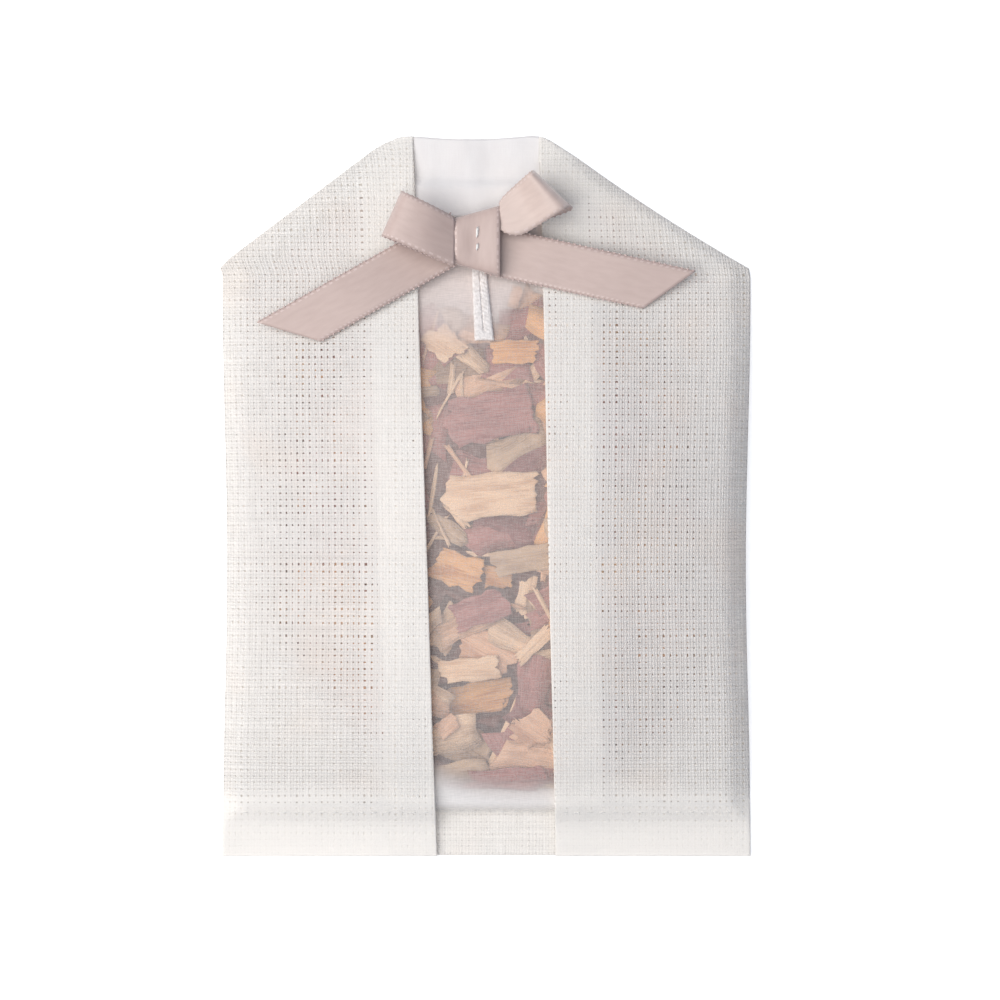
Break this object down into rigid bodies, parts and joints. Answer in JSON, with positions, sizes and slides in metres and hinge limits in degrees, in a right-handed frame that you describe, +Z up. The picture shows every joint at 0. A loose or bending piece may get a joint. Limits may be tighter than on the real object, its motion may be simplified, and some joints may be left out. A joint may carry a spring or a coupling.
{
  "type": "scented sachet",
  "caption": "Coat-shaped linen scent sachet with open fronts over a sheer bag of wood shavings, a satin bow sewn at the neck and a short tape hanging loop below it.",
  "frame": {"origin": "middle of the sachet's outline, on the surface that its flat back lies on", "axes": "+X across the sachet to the viewer's right, +Y along it to the neck, +Z up from its back to its front"},
  "size_m": [0.11, 0.1504, 0.0181],
  "materials": {
    "linen": "open plain weave, off-white",
    "fine_cotton": "smooth fine weave, white",
    "sheer_voile": "sheer fine weave",
    "satin_ribbon": "satin sheen",
    "cotton_tape": "soft woven tape",
    "sewing_thread": "matt thread",
    "wood_mixed": "rough shavings",
    "wood_cream": "rough grain",
    "wood_peach": "rough grain",
    "wood_orange": "rough grain",
    "wood_mauve": "rough grain",
    "wood_olive": "rough grain"
  },
  "bodies": {
    "sachet": {"back_panel": "linen", "left_front_panel": "linen", "right_front_panel": "linen", "back_neck_facing": "fine_cotton", "left_hem_thread": "sewing_thread", "right_hem_thread": "sewing_thread", "back_hem_thread": "sewing_thread", "bag_back_sheet": "sheer_voile", "bag_front_sheet": "sheer_voile", "shaving_bed": "wood_mixed", "shaving_01": "wood_peach", "shaving_02": "wood_cream", "shaving_03": "wood_orange", "shaving_04": "wood_cream", "shaving_05": "wood_mauve", "shaving_06": "wood_cream", "shaving_07": "wood_peach", "shaving_08": "wood_olive", "shaving_09": "wood_cream", "shaving_10": "wood_cream", "shaving_11": "wood_peach", "shaving_12": "wood_orange", "shaving_13": "wood_olive", "shaving_14": "wood_orange", "shaving_15": "wood_cream", "shaving_16": "wood_mauve", "shaving_17": "wood_cream", "shaving_18": "wood_peach", "shaving_19": "wood_mauve", "shaving_20": "wood_cream", "shaving_21": "wood_cream", "shaving_22": "wood_cream", "shaving_23": "wood_orange", "shaving_24": "wood_mauve", "shaving_25": "wood_olive", "shaving_26": "wood_peach", "shaving_27": "wood_peach", "shaving_28": "wood_mauve", "shaving_29": "wood_peach", "shaving_30": "wood_mauve", "shaving_31": "wood_mauve", "shaving_32": "wood_cream", "shaving_33": "wood_cream", "shaving_34": "wood_olive", "shaving_35": "wood_peach", "ribbon_knot": "satin_ribbon", "ribbon_left_loop": "satin_ribbon", "ribbon_right_loop": "satin_ribbon", "upper_tack_stitch": "sewing_thread", "lower_tack_stitch": "sewing_thread"},
    "left_tail": {"ribbon_left_tail": "satin_ribbon"},
    "right_tail": {"ribbon_right_tail": "satin_ribbon"},
    "tape_loop": {"hanging_loop": "cotton_tape"}
  },
  "joints": [
    {"name": "left_tail_lift", "type": "hinge", "parent": "sachet", "child": "left_tail", "pos_m": [-0.01666, 0.04748, 0.00675], "axis": [-0.4955, 0.8686, 0], "range_deg": [0, 70]},
    {"name": "right_tail_lift", "type": "hinge", "parent": "sachet", "child": "right_tail", "pos_m": [0.00412, 0.05006, 0.00539], "axis": [-0.2181, -0.9759, 0], "range_deg": [0, 70]},
    {"name": "tape_loop_lift", "type": "hinge", "parent": "sachet", "child": "tape_loop", "pos_m": [-0.0009, 0.0449, 0.00437], "axis": [-1, 0, 0], "range_deg": [0, 60]}
  ]
}
